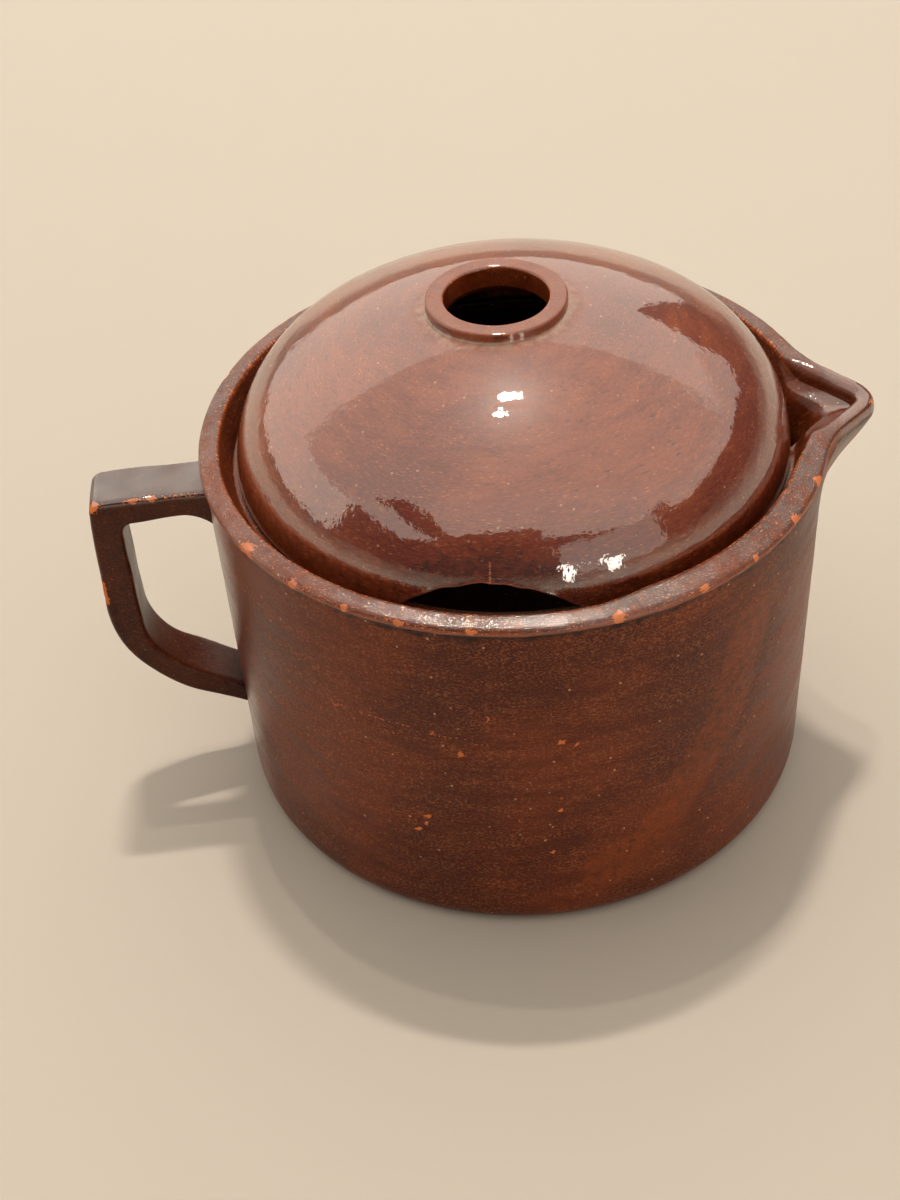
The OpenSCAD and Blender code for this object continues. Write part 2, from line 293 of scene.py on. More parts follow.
def lead_glaze(
    name, deep, warm, fleck, fleck_from, fleck_share, grog_share, painted_glint_share, smut_share, drag,
    rough, peel, grit, ior, skin_ior, skin_rough, skin_grit=0, thrown=True,
):
    """Brown lead glaze over red clay, brushed on and fired once: slightly orange-peeled, mottled and
    streaked along the brush, with fine amber flecks on the grit's high points, orange dots of grog, dark
    dashes, and pale dots that are painted glints on the grit. Where it lies thick it has a glassy skin
    (mark wet), which skin_grit roughens everywhere but on the spout. It darkens where it ran together,
    and the same dark tint is painted shade under the rim's lip, low on the lid and on the collar's sides
    (one mark for pooled glaze and painted shade). It breaks to amber where it runs thin (mark thin), is
    bare orange clay where it is chipped (mark bare), and holds pale dust in corners (mark dust). A
    thrown piece has its pattern laid round the axis, and its peel calms towards the middle."""
    glaze = bpy.data.materials.new(name)
    glaze.use_nodes = True
    tree = glaze.node_tree
    tree.nodes.clear()
    spot = add(tree, "ShaderNodeTexCoord").outputs["Object"]
    laid = spot
    calm = 1.0
    if thrown:
        flat = add(
            tree, "ShaderNodeVectorMath", {0: spot, 1: (1, 1, 0)}, operation="MULTIPLY"
        ).outputs[0]
        out = add(tree, "ShaderNodeVectorMath", {0: flat}, operation="LENGTH").outputs["Value"]
        way = add(tree, "ShaderNodeVectorMath", {0: flat}, operation="NORMALIZE").outputs[0]
        calm = add(tree, "ShaderNodeMapRange", {0: out, 1: 40 * MM, 2: 78 * MM, 3: 0.25}).outputs[0]
        height = add(tree, "ShaderNodeSeparateXYZ", {0: spot}).outputs["Z"]
        fall = add(tree, "ShaderNodeMath", {0: out, 1: height}, operation="SUBTRACT").outputs[0]
        fall = add(tree, "ShaderNodeCombineXYZ", {"Z": fall}).outputs[0]
        laid = add(
            tree, "ShaderNodeVectorMath", {0: way, 1: [90 * MM] * 3, 2: fall}, operation="MULTIPLY_ADD"
        ).outputs[0]
    drawn = add(tree, "ShaderNodeMapping", {"Vector": laid, "Scale": drag}).outputs[0]
    strokes = (1.0, 1.0, 4.5 if thrown else 0.6)
    brushed = add(tree, "ShaderNodeMapping", {"Vector": laid, "Scale": strokes}).outputs[0]
    wet = add(tree, "ShaderNodeAttribute", attribute_name="wet").outputs["Fac"]
    pools = add(
        tree, "ShaderNodeTexNoise", {"Vector": spot, "Scale": 1 / (48 * MM), "Detail": 3.0}
    ).outputs[0]
    pools = add(
        tree, "ShaderNodeMapRange", {0: pools, 1: 0.34, 2: 0.66}, interpolation_type="SMOOTHSTEP"
    ).outputs[0]
    drift = add(
        tree, "ShaderNodeTexNoise", {"Vector": brushed, "Scale": 1 / (22 * MM), "Detail": 3.0}
    ).outputs[0]
    pools = add(tree, "ShaderNodeMath", {0: pools, 1: drift}, operation="MULTIPLY").outputs[0]
    streaks = add(
        tree, "ShaderNodeTexNoise", {"Vector": brushed, "Scale": 1 / (3 * MM), "Detail": 3.0}
    ).outputs[0]
    streaks = add(tree, "ShaderNodeMapRange", {0: streaks, 1: 0.3, 2: 0.7, 3: -0.3, 4: 0.4}).outputs[0]
    pools = add(
        tree, "ShaderNodeMath", {0: pools, 1: 1.7, 2: streaks}, operation="MULTIPLY_ADD"
    ).outputs[0]
    specks = add(
        tree, "ShaderNodeTexNoise", {"Vector": drawn, "Scale": 1 / (0.75 * MM), "Detail": 2.0}
    ).outputs[0]
    flecks = add(
        tree, "ShaderNodeMapRange", {0: specks, 1: fleck_from, 2: fleck_from + 0.2, 4: fleck_share}
    ).outputs[0]
    spread = add(tree, "ShaderNodeMapRange", {0: drift, 1: 0.36, 2: 0.62, 3: 0.3}).outputs[0]
    flecks = add(tree, "ShaderNodeMath", {0: flecks, 1: spread}, operation="MULTIPLY").outputs[0]
    under = add(tree, "ShaderNodeMapRange", {0: wet, 3: 1.0, 4: 0.3}).outputs[0]
    flecks = add(tree, "ShaderNodeMath", {0: flecks, 1: under}, operation="MULTIPLY").outputs[0]
    grog = add(
        tree, "ShaderNodeTexVoronoi", {"Vector": drawn, "Scale": 1 / (2.6 * MM)}
    ).outputs["Distance"]
    grog = add(tree, "ShaderNodeMapRange", {0: grog, 1: 0.21, 2: 0.1, 4: grog_share}).outputs[0]
    grog = add(tree, "ShaderNodeMath", {0: grog, 1: spread}, operation="MULTIPLY").outputs[0]
    smuts = add(
        tree, "ShaderNodeTexNoise", {"Vector": brushed, "Scale": 1 / (5.5 * MM), "Detail": 2.0}
    ).outputs[0]
    smuts = add(tree, "ShaderNodeMapRange", {0: smuts, 1: 0.37, 2: 0.27, 4: smut_share}).outputs[0]
    smuts = add(tree, "ShaderNodeMath", {0: smuts, 1: pools}, operation="MULTIPLY").outputs[0]
    colour = add(
        tree, "ShaderNodeMix", {"Factor": pools, 6: linear(deep), 7: linear(warm)}, data_type="RGBA"
    ).outputs[2]
    colour = add(
        tree, "ShaderNodeMix", {"Factor": flecks, 6: colour, 7: linear(fleck)}, data_type="RGBA"
    ).outputs[2]
    colour = add(
        tree, "ShaderNodeMix", {"Factor": smuts, 6: colour, 7: linear("#2c100b")}, data_type="RGBA"
    ).outputs[2]
    colour = add(
        tree, "ShaderNodeMix", {"Factor": grog, 6: colour, 7: linear("#c4713f")}, data_type="RGBA"
    ).outputs[2]
    # Pale dots every few millimetres are painted glints on the high points of the grit.
    painted_glints = add(tree, "ShaderNodeTexVoronoi", {"Vector": spot, "Scale": 1 / (6 * MM)}).outputs["Distance"]
    painted_glints = add(tree, "ShaderNodeMapRange", {0: painted_glints, 1: 0.085, 2: 0.04, 4: painted_glint_share}).outputs[0]
    colour = add(
        tree, "ShaderNodeMix", {"Factor": painted_glints, 6: colour, 7: linear("#d3a27c")}, data_type="RGBA"
    ).outputs[2]
    breaks = add(
        tree, "ShaderNodeTexNoise", {"Vector": spot, "Scale": 1 / (2.6 * MM), "Detail": 3.0}
    ).outputs[0]
    marks = {}
    # The dark pool tint is laid both where glaze pooled and as painted shade under the lip, low on the
    # lid and on the collar's sides.
    for mark, tint, start, end, edges in (
        ("dust", "#b39a84", 0.8, 1.5, breaks), ("thin", "#8b4014", 0.85, 1.35, breaks),
        ("pool", "#260b05", 0.8, 1.5, breaks), ("bare", "#d87840", 1.0, 1.1, specks),
    ):
        share = add(tree, "ShaderNodeAttribute", attribute_name=mark).outputs["Fac"]
        share = add(tree, "ShaderNodeMath", {0: share, 1: edges}, operation="ADD").outputs[0]
        marks[mark] = add(tree, "ShaderNodeMapRange", {0: share, 1: start, 2: end}).outputs[0]
        colour = add(
            tree, "ShaderNodeMix", {"Factor": marks[mark], 6: colour, 7: linear(tint)}, data_type="RGBA"
        ).outputs[2]
    gloss = add(
        tree, "ShaderNodeMapRange", {0: drift, 1: 0.3, 2: 0.7, 3: rough[0], 4: rough[1]}
    ).outputs[0]
    for mark, dullness in (("dust", 0.6), ("bare", 0.85)):
        gloss = add(
            tree, "ShaderNodeMix", {"Factor": marks[mark], 2: gloss, 3: dullness}, data_type="FLOAT"
        ).outputs[0]
    waves = add(
        tree,
        "ShaderNodeTexNoise",
        {"Vector": spot, "Scale": 1 / (8 * MM), "Detail": 4.0, "Roughness": 0.56},
    ).outputs[0]
    skin = add(tree, "ShaderNodeBump", {"Strength": calm, "Distance": peel, "Height": waves}).outputs[0]
    relief = add(tree, "ShaderNodeBump", {"Distance": grit, "Height": specks, "Normal": skin}).outputs[0]
    if skin_grit:
        off_spout = add(
            tree, "ShaderNodeMapRange", {0: out, 1: rim_r, 2: rim_r + 3 * MM, 3: 1.0, 4: 0.0}
        ).outputs[0]
        skin = add(
            tree,
            "ShaderNodeBump",
            {"Strength": off_spout, "Distance": skin_grit, "Height": specks, "Normal": skin},
        ).outputs[0]
    shader = add(
        tree,
        "ShaderNodeBsdfPrincipled",
        {
            "Base Color": colour, "Roughness": gloss, "Normal": relief, "IOR": ior,
            "Coat Weight": wet, "Coat Roughness": skin_rough, "Coat IOR": skin_ior, "Coat Normal": skin,
        },
    ).outputs[0]
    add(tree, "ShaderNodeOutputMaterial", {"Surface": shader})
    return glaze


# On the pot the glaze is thin over the grit: a satin brown, glassy only on the rim and the spout.
pot_glaze = lead_glaze(
    "pot_lead_glaze", deep="#491c0d", warm="#6e2e12", fleck="#9e5b37",
    fleck_from=0.48, fleck_share=0.8, grog_share=0.4, painted_glint_share=0.85, smut_share=0.5,
    drag=(1.0, 1.0, 1.4), rough=(0.28, 0.42), peel=0.16 * MM, grit=0.06 * MM,
    ior=1.3, skin_ior=2.5, skin_rough=0.06, skin_grit=0.2 * MM,
)
pot = throw(
    "thrown_pot",
    outside + crown + inside,
    pot_glaze,
    columns=480,
    full_radius=rim_r,
    wobble=0.9 * MM,
    wobble_width=90 * MM,
    ridge=0.35 * MM,
    ridge_width=7 * MM,
    seed=3,
)
places = points_of(pot.data)
spun_from = rings_of(pot.data)
is_outside = spun_from < len(outside)
is_inside = spun_from >= len(outside) + len(crown)
is_crown = ~is_outside & ~is_inside

# The beak spout
# A three-cornered beak joined over a V cut in the soft rim and wiped into the wall inside and out,
# so pot and spout share one skin under the glaze. Its tip droops a little below the rim.
spout_low, spout_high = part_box("pouring_spout")
beak_tip = spout_high.x
keel_z = spout_low.z
beak_half_turn = math.radians(32)
beak_nose = 10 * MM
beak_depth = 3 * MM
beak_fillet = 10 * MM
beak_start = 6 * MM
beak_droop = 1.5 * MM
droop_from = rim_r - 4 * MM
droop_reach = 28 * MM
droop_curve = 1.6
keel_nose = 3 * MM
keel_curve = 1.2
past_end = 1.3
crown_fillet = 5 * MM
channel_tip = beak_tip - 7 * MM
channel_nose = 4 * MM
channel_opening = 5 * MM
channel_half_near = 18.5 * MM
channel_half_far = 21.5 * MM
channel_depth = 32 * MM
channel_tail = 2 * MM
channel_foot = math.sqrt(mouth_r**2 - channel_half_far**2)
channel_ease = 2.5 * MM
scoop = 0.35
roll_out = 3 * MM
roll_in = 5 * MM
roll_reach = 22 * MM
broad_rim = 2.2 * MM
broad_depth = 8 * MM
broad_turn = -46
broad_to = 34
broad_fade = 12


def wedge_reach(turn, tip, nose):
    """How far from the axis a square-cornered wedge with a round nose reaches in each direction."""
    centre = tip - nose
    flank = (centre + nose * math.sqrt(2)) / (np.cos(turn) + np.abs(np.sin(turn)))
    across = centre * np.sin(turn)
    front = centre * np.cos(turn) + np.sqrt(np.maximum(nose**2 - across**2, 0))
    on_nose = (np.abs(across) < nose) & (np.abs(front * np.sin(turn)) < nose * math.sqrt(0.5))
    return np.where(on_nose, front, flank)


def smooth_max(a, b, width):
    """The larger of two, with a fillet of a given width where they meet."""
    near = np.maximum(width - np.abs(a - b), 0) / width
    return np.maximum(a, b) + near**2 * width / 4


turns = np.arctan2(places[:, 1], places[:, 0])
radii = np.hypot(places[:, 0], places[:, 1])
depth = rim_z - places[:, 2]
near_beak = np.abs(turns) < beak_half_turn
keel = np.clip((depth - beak_depth) / (rim_z - keel_z - beak_depth), 0, past_end) ** keel_curve
beak = wedge_reach(
    turns,
    beak_tip + (base_r - beak_tip) * keel,
    beak_nose + (keel_nose - beak_nose) * np.minimum(keel, 1),
)
fall = np.clip(depth / channel_depth, 0, past_end)
channel_half = np.where(turns < 0, channel_half_near, channel_half_far)
half = np.maximum(channel_half * (1 - depth / (channel_depth + channel_tail)), 0.2 * MM)
sideways = np.maximum(np.abs(np.sin(turns)), 1e-6)
channel = np.minimum(
    wedge_reach(
        turns,
        channel_tip + (channel_foot - channel_tip) * fall**scoop,
        channel_nose + channel_opening * np.sqrt(fall),
    ),
    half / sideways,
)
top_beak = smooth_max(np.full_like(turns, rim_r), wedge_reach(turns, beak_tip, beak_nose), crown_fillet)
top_channel = smooth_max(
    np.full_like(turns, mouth_r),
    np.minimum(wedge_reach(turns, channel_tip, channel_nose), channel_half / sideways),
    channel_ease,
)
across = (radii - mouth_r) / (rim_r - mouth_r)
new_radii = radii.copy()
pulled = near_beak & is_outside & (depth < rim_z - 2 * base_round)
new_radii[pulled] = smooth_max(radii, beak, beak_fillet)[pulled]
pulled = near_beak & is_crown
new_radii[pulled] = (top_channel + across * (top_beak - top_channel))[pulled]
pulled = near_beak & is_inside & (depth < channel_depth + 2 * channel_tail)
new_radii[pulled] = smooth_max(radii, channel, channel_ease)[pulled]
# Beside the spout, on the near side, the crown is broader inwards.
broad = broad_rim * ease((broad_to - np.abs(np.degrees(turns) - broad_turn)) / broad_fade)
inner_edge = np.where(is_inside, np.clip(1 - depth / broad_depth, 0, 1), 0)
new_radii -= broad * np.where(is_crown, 1 - across, inner_edge)
places[:, 0] = new_radii * np.cos(turns)
places[:, 1] = new_radii * np.sin(turns)
# The beak's lip is rolled over to both sides, and its tip droops.
on_beak = np.where(near_beak, ease((top_beak - rim_r) / beak_start), 0)
over_out = roll_out * (1 - np.sqrt(np.clip(1 - across**2, 0, 1)))
over_in = roll_in * (1 - np.sqrt(np.clip(1 - (1 - across) ** 2, 0, 1)))
below = np.where(is_outside, roll_out, roll_in) * np.clip(1 - depth / roll_reach, 0, 1)
places[:, 2] -= on_beak * np.where(is_crown, over_out + over_in, below)
droop = np.clip((places[:, 0] - droop_from) / (beak_tip - droop_from), 0, 1) ** droop_curve
droop *= np.clip(1 - depth / droop_reach, 0, 1)
places[:, 2] -= np.where(near_beak, droop * beak_droop, 0)

# Wear and painted shade on the rim
# The crown falls outwards and is dimpled. The glaze runs thin over the lip's outer edge and breaks to
# amber there, and is chipped down to the orange clay. Below the lip a dark run is painted shade under
# the lip's overhang as well as glaze pooled there. Turns are in degrees round the axis from the spout.
rim_fall = 1.3 * MM
dimple_w = 3.4 * MM
dimple_up = 0.3 * MM
dimple_out = 0.45 * MM
run_ragged = 2.4 * MM
handle_side = 152
crown_wet = 0.55
inside_wet = 0.3
fallen = np.where(is_crown, across, np.where(is_outside, 1 - (depth - lip_round) / lip_h, 0))
places[:, 2] -= rim_fall * np.clip(fallen, 0, 1) * (1 - on_beak)
dimples = (ragged(places, dimple_w, seed=33) - 0.5) * ~is_inside
dimples *= ease((lip_h + 1.5 * MM - depth) / (1 * MM))
places[:, 2] += dimple_up * dimples * is_crown
places[:, :2] *= 1 + (dimple_out * dimples * is_outside / new_radii.clip(1 * MM))[:, None]
run_down = depth + (ragged(places, 3.2 * MM, seed=7) - 0.5) * run_ragged
on_lip = ease((lip_h + 0.6 * MM - run_down) / (0.8 * MM)) * ease((depth - 0.2 * MM) / (0.7 * MM))
on_inner = ease((mouth_r + 1.1 * MM - radii) / (0.6 * MM)) * (1 - on_beak)
thin = np.where(is_outside, on_lip, np.where(is_crown, np.maximum(on_lip, 0.8 * on_inner), 0.0))
thin *= (0.6 + 0.5 * ragged(places, 14 * MM, seed=5)) * (1 - 0.8 * on_beak)
mottled = ragged(places, 2.6 * MM, seed=19) * ragged(places, 8 * MM, seed=35) * 2
rubbed = ease(2.4 * mottled - 0.7) * is_crown * (1 - on_beak)
thin = np.maximum(thin, 0.5 * rubbed)
# The dark band below the lip is painted shade under its overhang, and glaze pooled there.
pool = 1.2 * ease((run_down - 2 * MM) / (0.7 * MM)) * is_outside
pool *= ease((2 * lip_h - run_down) / (1.4 * MM))
pool = np.maximum(pool, 0.7 * on_lip * is_outside * ease(3 * ragged(places, 2.4 * MM, seed=27) - 1.1))
by_handle = 0.5 * ease((np.abs(np.degrees(turns)) - handle_side) / 10)
wet_outside = np.maximum(0.25 * on_lip, by_handle)
wet_crown = crown_wet - 0.25 * np.maximum(on_lip, rubbed)
wet = np.where(is_outside, wet_outside, np.where(is_crown, wet_crown, inside_wet))
beyond_rim = ease((new_radii - rim_r) / (5 * MM))
beyond_mouth = ease((new_radii - mouth_r) / (3 * MM))
wet = np.maximum(wet, np.where(near_beak & is_crown, beyond_rim, 0))
wet = np.maximum(wet, np.where(near_beak & is_outside, 0.15 * beyond_rim, 0))
wet = np.maximum(wet, np.where(near_beak & is_inside, beyond_mouth, 0))
on_corner = ease(1.1 - np.abs(depth - 0.6 * MM) / (0.7 * MM)) * (radii > rim_r - 2 * MM) * ~is_inside
bare = 0.5 * on_corner * (1 - on_beak) * ease(2.6 * ragged(places, 9 * MM, seed=13) - 0.8)
bare = np.maximum(bare, (0.38 * is_crown + 0.12 * on_inner * is_crown) * (1 - on_beak))
rim_chips = (
    (-146.5, 3.4), (-25.5, 2.2), (-37, 2.0), (-49.5, 1.5), (-61, 1.6), (-76.8, 2.2), (-101, 1.4),
    (-113, 1.4), (-123, 1.6), (-134, 1.7), (62, 2.4), (118, 1.6), (158, 2.0),
)


def chip(places, bare, centre, size, inward):
    """Breaks a shallow flake off round a point, and marks the clay it bares."""
    flake_depth = 0.18 * size
    away = np.linalg.norm(places - np.array(centre), axis=1)
    struck = np.flatnonzero(away < 1.6 * size)
    torn = away[struck] / size + 0.9 * (ragged(places[struck], 0.9 * MM, seed=11) - 0.5)
    hollow = np.clip(1 - torn**2, 0, 1)
    places[struck] += np.outer(flake_depth * hollow, inward)
    bare[struck] = np.maximum(bare[struck], ease(1.35 - torn))


for turn, size in rim_chips:
    a = math.radians(turn)
    outward = Vector((math.cos(a), math.sin(a), 0))
    centre = outward * (rim_r - 0.6 * MM) + Vector((0, 0, rim_z - rim_fall - 0.9 * MM))
    chip(places, bare, centre, size * MM, np.array((-outward - Vector((0, 0, 0.8))).normalized()))
beak_chip = (beak_tip - 1 * MM, -4 * MM, rim_z - beak_droop - 1 * MM)
chip(places, bare, beak_chip, 1.8 * MM, np.array((-0.7, 0, -0.7)))

# Marks on the wall
# One brush stroke ran thin and slants down the wall below the spout, and small knocks have opened
# the glaze all round. Each place is a turn from the spout in degrees and a height in millimetres, and
# a knock also has its size in millimetres.
stroke = [(-48.7, 103), (-53.2, 72), (-62.1, 49), (-68.9, 31), (-78, 22)]
stroke_w = 15 * MM
stroke_edge = 12 * MM
stroke_edge_w = 9 * MM
scratch = [(-129, 87), (-120.3, 88.1), (-112.8, 87.6), (-107.6, 86.9), (-99, 84.6)]
scratch_w = 1.0 * MM
knock_sink = 0.4 * MM
wall_knocks = (
    (-104.3, 79.6, 1.7), (-99.2, 95.8, 1.3), (-111.3, 48.8, 1.4), (-113.5, 41.3, 1.3),
    (-111.8, 45.2, 1.0), (-86.6, 60.1, 1.2), (-87.2, 53.9, 1.0), (-88.8, 35, 1.1), (-94.6, 50, 1.0),
    (-86.6, 84.8, 1.1), (-83.8, 83, 1.0), (-81.5, 76, 1.0), (-48.5, 51.3, 1.0), (28, 64, 1.3),
    (74, 40, 1.5), (97, 88, 1.2), (131, 57, 1.4),
)


def from_path(path, shift):
    """How far each point of the wall is from a path, moved round the wall by a given shift."""
    unrolled = np.stack([turns * base_r - shift, places[:, 2]], axis=1)
    away = np.full(len(places), 1.0)
    for (turn_a, z_a), (turn_b, z_b) in zip(path[:-1], path[1:]):
        start = np.array([math.radians(turn_a) * base_r, z_a * MM])
        run = np.array([math.radians(turn_b) * base_r, z_b * MM]) - start
        along = np.clip((unrolled - start) @ run / (run @ run), 0, 1)
        away = np.minimum(away, np.linalg.norm(unrolled - start - np.outer(along, run), axis=1))
    return away


on_stroke = 0.52 * ease(1.8 - 1.8 * from_path(stroke, 0) / stroke_w)
thin = np.maximum(thin, np.where(is_outside, on_stroke, 0))
beside_stroke = 0.5 * ease(1 - from_path(stroke, stroke_edge) / stroke_edge_w)
pool = np.maximum(pool, np.where(is_outside, beside_stroke, 0))
scratched = 0.5 * (from_path(scratch, 0) < scratch_w)
bare = np.maximum(bare, np.where(is_outside, scratched, 0))
for turn, z, size in wall_knocks:
    a = math.radians(turn)
    outward = np.array((math.cos(a), math.sin(a), 0))
    centre = outward * (wall_r - knock_sink) + np.array((0, 0, z * MM))
    chip(places, bare, centre, size * MM, -outward)
seal(pot.data, places, thin=thin, bare=bare, wet=wet, pool=0.8 * pool)
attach(pot, "pot")
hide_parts("pot_body", "pouring_spout")

# The strap handle
# A flat strap of the same clay, bent square at the top and round below, and pressed onto the wall
# at both ends. Its edges are rubbed, and the outer top corner is knocked down to bare clay.
# On the strap the glaze is thicker and nearly black-brown, with a broken shine on its top face.
handle_glaze = lead_glaze(
    "handle_lead_glaze", deep="#30110a", warm="#4c1f0e", fleck="#744026",
    fleck_from=0.48, fleck_share=0.5, grog_share=0.2, painted_glint_share=0.2, smut_share=0.5,
    drag=(1.0, 1.0, 1.4), rough=(0.22, 0.36), peel=0.24 * MM, grit=0.035 * MM,
    ior=1.3, skin_ior=2.4, skin_rough=0.08, thrown=False,
)
handle_turn = math.radians(180 + 3.5)
strap_w = 18 * MM
strap_round = 1.7 * MM
grip_out = 38.4 * MM
grip_t = 11 * MM
grip_r = rim_r + grip_out
gap_r = grip_r - grip_t
grip_lean = 2 * MM
arm_t = 9.5 * MM
strap_top = rim_z - 10 * MM
gap_top = strap_top - arm_t
corner = 4 * MM
root_r = base_r - 3.5 * MM
outer_bend = 46.5 * MM
outer_bend_z = rim_z - 55 * MM
outer_slope = math.radians(27)
inner_bend = 28.6 * MM
inner_bend_z = rim_z - 61 * MM
inner_slope = math.radians(33)
flare = 12 * MM
flare_turn = 60


def even(line, count):
    """A line's points spaced evenly along it, both ends included."""
    line = np.array(line)
    along = np.concatenate([[0], np.cumsum(np.linalg.norm(np.diff(line, axis=0), axis=1))])
    steps = np.linspace(0, along[-1], count)
    return np.stack([np.interp(steps, along, line[:, i]) for i in range(2)], axis=1)


def arm_root(centre_r, centre_z, radius, slope):
    """Where the straight lower arm, after a bend, reaches its root inside the wall."""
    end_r = centre_r + radius * math.sin(slope)
    end_z = centre_z - radius * math.cos(slope)
    return root_r, end_z - (end_r - root_r) * math.tan(slope)


outer_centre = (grip_r - outer_bend, outer_bend_z)
inner_centre = (gap_r - inner_bend, inner_bend_z)
outer_arc = bend(outer_centre, outer_bend, 0, math.degrees(outer_slope) - 90, 40)
inner_arc = bend(inner_centre, inner_bend, 0, math.degrees(inner_slope) - 90, 40)
flare_centre = (base_r - 1 * MM + flare * math.sin(math.radians(flare_turn)), gap_top - flare)
flare_arc = bend(flare_centre, flare, 90 + flare_turn, 90, 12)
outer_corner = bend((grip_r - grip_lean - corner, strap_top - corner), corner, 90, 0, 12)
inner_corner = bend((gap_r - corner, gap_top - corner), corner, 90, 0, 12)
outer_line = np.concatenate([
    even([(root_r, strap_top), outer_corner[0]], 30)[:-1],
    even(outer_corner, 14)[:-1],
    even([outer_corner[-1], outer_arc[0]], 40)[:-1],
    even(outer_arc, 44)[:-1],
    even([outer_arc[-1], arm_root(*outer_centre, outer_bend, outer_slope)], 16),
])
inner_line = np.concatenate([
    even([(root_r, flare_arc[0][1]), *flare_arc, inner_corner[0]], 30)[:-1],
    even(inner_corner, 14)[:-1],
    even([inner_corner[-1], inner_arc[0]], 40)[:-1],
    even(inner_arc, 44)[:-1],
    even([inner_arc[-1], arm_root(*inner_centre, inner_bend, inner_slope)], 16),
])


def strap_section(thick, wide, rounding):
    """The sides of a round-edged oblong, each from one point to the next."""
    loop = []
    for across, along, turn in ((1, 1, 0), (-1, 1, 90), (-1, -1, 180), (1, -1, 270)):
        centre = (across * (thick / 2 - rounding), along * (wide / 2 - rounding))
        loop += bend(centre, rounding, turn, turn + 90, 7)
    return [(loop[i], loop[(i + 1) % len(loop)]) for i in range(len(loop))]


strap_points, strap_thin, strap_inner = [], [], []
side_steps = 12
for outer, inner in zip(outer_line, inner_line):
    middle = (outer + inner) / 2
    direction = outer - inner
    thick = float(np.linalg.norm(direction))
    direction = direction / thick
    for start, end in strap_section(thick, strap_w, strap_round):
        flat = math.dist(start, end) > 1.5 * strap_round
        for step in range(side_steps if flat else 1):
            t, y = Vector(start).lerp(Vector(end), step / side_steps if flat else 0)
            r, z = middle + direction * t
            strap_points.append((r, y, z))
            from_face = min(abs(thick / 2 - abs(t)), strap_round)
            from_side = min(abs(strap_w / 2 - abs(y)), strap_round)
            strap_thin.append(1 - (from_face + from_side) / strap_round)
            strap_inner.append(t < 0.6 * MM - thick / 2)
loop_size = len(strap_points) // len(outer_line)
strap_faces = [
    (i * loop_size + j, i * loop_size + (j + 1) % loop_size,
     (i + 1) * loop_size + (j + 1) % loop_size, (i + 1) * loop_size + j)
    for i in range(len(outer_line) - 1)
    for j in range(loop_size)
]
last_loop = range(len(strap_points) - loop_size, len(strap_points))
strap_faces += [tuple(range(loop_size)), tuple(last_loop)]
strap_mesh = bpy.data.meshes.new("strap_handle")
strap_mesh.from_pydata(strap_points, [], strap_faces)
places = points_of(strap_mesh)
uneven = np.stack([ragged(places, 16 * MM, seed) - 0.5 for seed in (21, 22, 23)], axis=1)
places += uneven * np.array([1.0, 1.6, 1.0]) * MM
from_top_edge = np.hypot(strap_w / 2 - places[:, 1], strap_top - places[:, 2])
from_grip_edge = np.hypot(strap_w / 2 - places[:, 1], grip_r - 0.3 * MM - places[:, 0])
rubbed_z = strap_top - 37 * MM
on_grip = ease((7 * MM - np.abs(rubbed_z - places[:, 2])) / (3 * MM))
bare = 0.54 * ease(1.5 - from_top_edge / (1.5 * MM)) * ease(3 * ragged(places, 7 * MM, seed=25) - 0.8)
bare = np.maximum(bare, 0.8 * ease(1.6 - from_grip_edge / (1.4 * MM)) * on_grip)
wet = ease((places[:, 2] - strap_top + 2.2 * MM) / (1.4 * MM))
wet *= 0.6 + 0.7 * ragged(places, 7 * MM, seed=29)
by_wall = ease((rim_r + 15 * MM - places[:, 0]) / (10 * MM)) * (places[:, 2] < inner_bend_z)
wet = np.maximum(wet, 0.8 * by_wall * np.array(strap_inner))
strap_chips = (
    (grip_r - grip_lean - 0.8 * MM, strap_w / 2 - 0.6 * MM, strap_top - 0.8 * MM, 3.2),
    (grip_r - 16 * MM, strap_w / 2 - 0.5 * MM, strap_top - 0.5 * MM, 1.3),
    (grip_r - 22 * MM, strap_w / 2 - 0.5 * MM, strap_top - 0.5 * MM, 1.8),
    (grip_r - 0.4 * MM, strap_w / 2 - 0.6 * MM, strap_top - 40 * MM, 1.8),
    (grip_r - 0.6 * MM, -strap_w / 2 + 0.6 * MM, strap_top - 26 * MM, 2.4),
)
for r, y, z, size in strap_chips:
    chip(places, bare, (r, y, z), size * MM, np.array((-0.5, -0.6 if y > 0 else 0.6, -0.5)))
turned = Matrix.Rotation(handle_turn, 3, "Z")
places = places @ np.array(turned).T
handle = bpy.data.objects.new("strap_handle", strap_mesh)
bpy.context.scene.collection.objects.link(handle)
strap_mesh.materials.append(handle_glaze)
seal(strap_mesh, places, thin=np.array(strap_thin) * 0.8, bare=bare, wet=wet)
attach(handle, "pot")
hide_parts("handle")

# The domed lid
# Thrown upside down as a shallow bowl: a wide crown that runs into a tighter shoulder, standing on
# its edge in the seat. A hole was cut in the middle, slightly off centre, and a notch in the edge.
lid_low, lid_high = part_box("lid_dome")
lid_r = lid_high.x
foot_z = lid_low.z
lid_t = 5.5 * MM
dome_above_rim = 42.7 * MM
dome_h = rim_z + dome_above_rim - foot_z
shoulder = 37 * MM
shoulder_x = lid_r - shoulder
crown_r = (shoulder_x**2 + dome_h**2 - shoulder**2) / (2 * (dome_h - shoulder))
crown_z = foot_z + dome_h - crown_r
meet = math.degrees(math.atan2(foot_z - crown_z, shoulder_x))
hole_r = 16.5 * MM
foot_round = 1.4 * MM
notch_turn = math.radians(-98.5)
notch_w = 58 * MM
notch_h = 12.7 * MM
notch_r = (notch_w**2 / 4 + notch_h**2) / (2 * notch_h)


def dome_line(inset, count):
    """The dome from the hole down to the foot, drawn in by a given amount."""
    start = math.degrees(math.acos(hole_r / (crown_r - inset)))
    return (
        bend((0, crown_z), crown_r - inset, start, meet, count)[:-1]
        + bend((shoulder_x, foot_z), shoulder - inset, meet, 0, count)
    )


